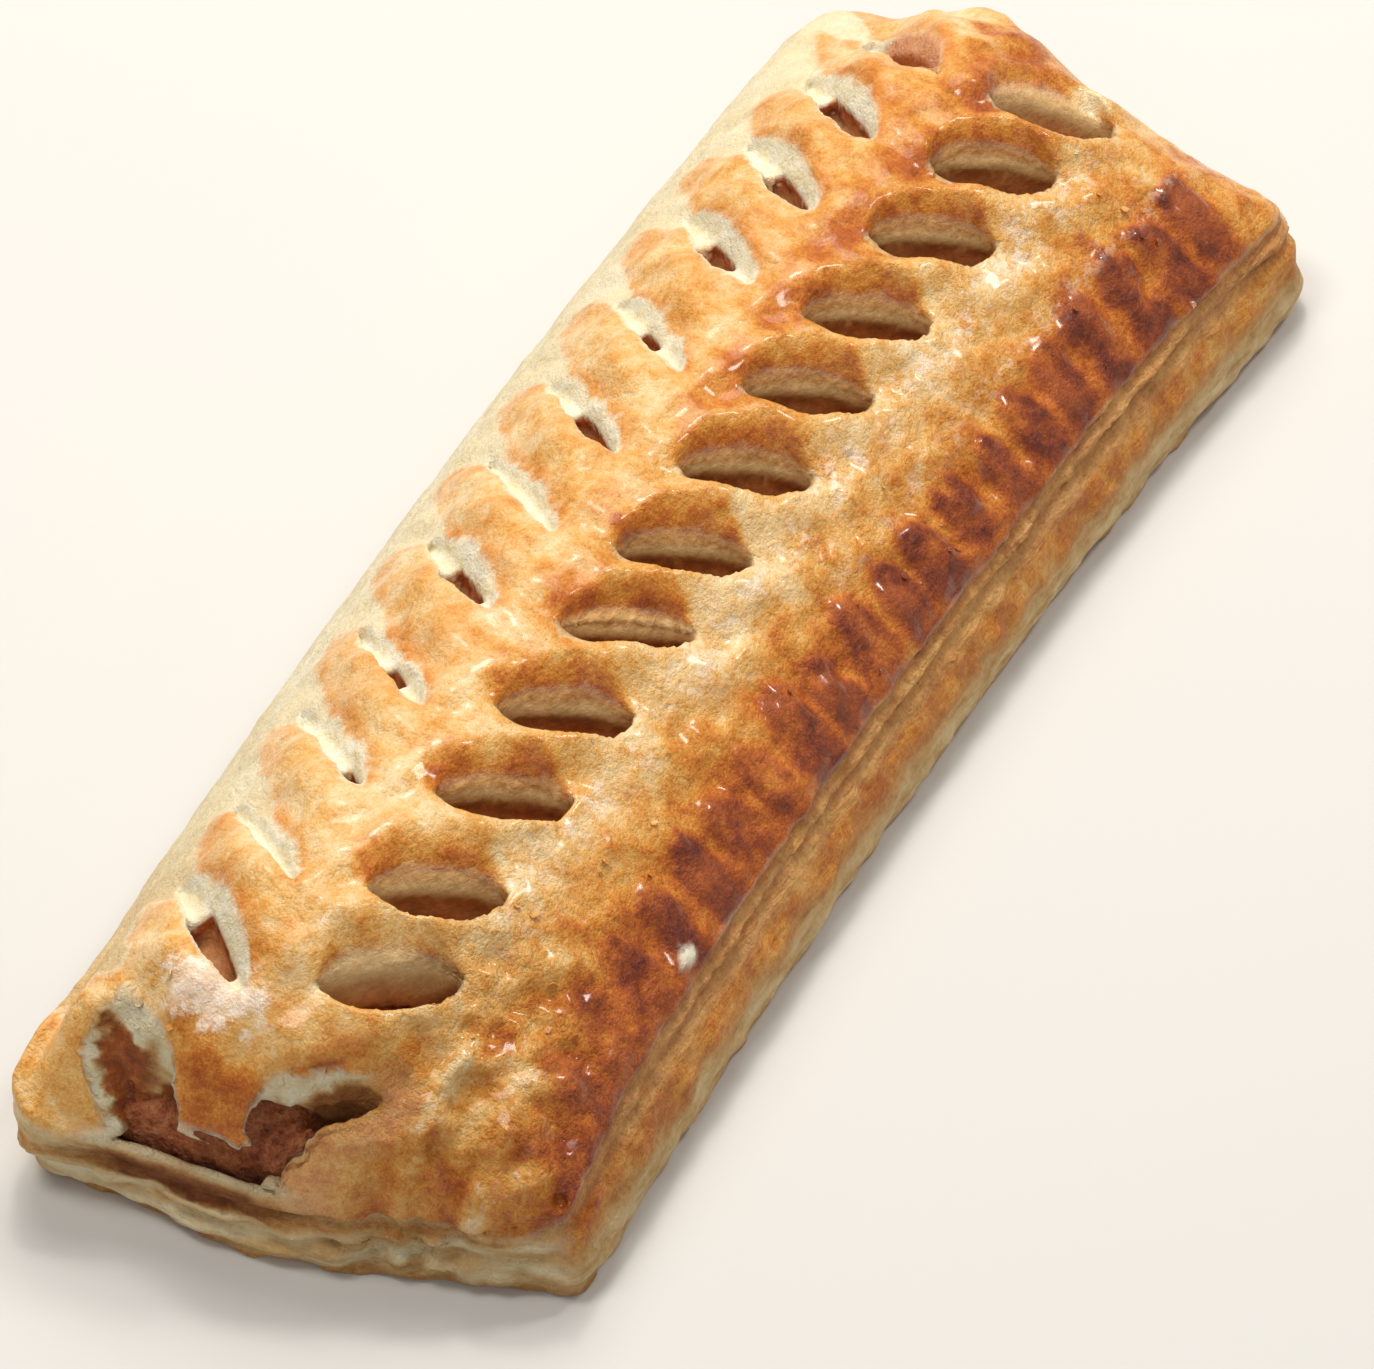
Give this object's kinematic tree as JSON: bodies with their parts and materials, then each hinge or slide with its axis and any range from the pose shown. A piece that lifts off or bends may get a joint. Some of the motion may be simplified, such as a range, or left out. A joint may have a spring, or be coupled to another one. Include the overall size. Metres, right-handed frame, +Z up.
{
  "type": "sausage roll",
  "caption": "Long baked puff pastry roll, folded along its back edge and crimped along its front, with slanted slits down both slopes and a burst end, filled with sausage meat.",
  "frame": {"origin": "on the flat underside, below the middle of the roll", "axes": "+X along the roll away from the burst end, +Y towards the folded side, +Z up from the board"},
  "size_m": [0.1653, 0.0597, 0.028],
  "materials": {
    "pastry": "golden-brown glazed puff pastry, glossy on the blisters, pale and dry on the cut edges",
    "sausage_meat": "moist red-brown cooked sausage meat"
  },
  "bodies": {
    "root": {"pastry": "pastry", "sausage_meat": "sausage_meat"}
  },
  "joints": []
}
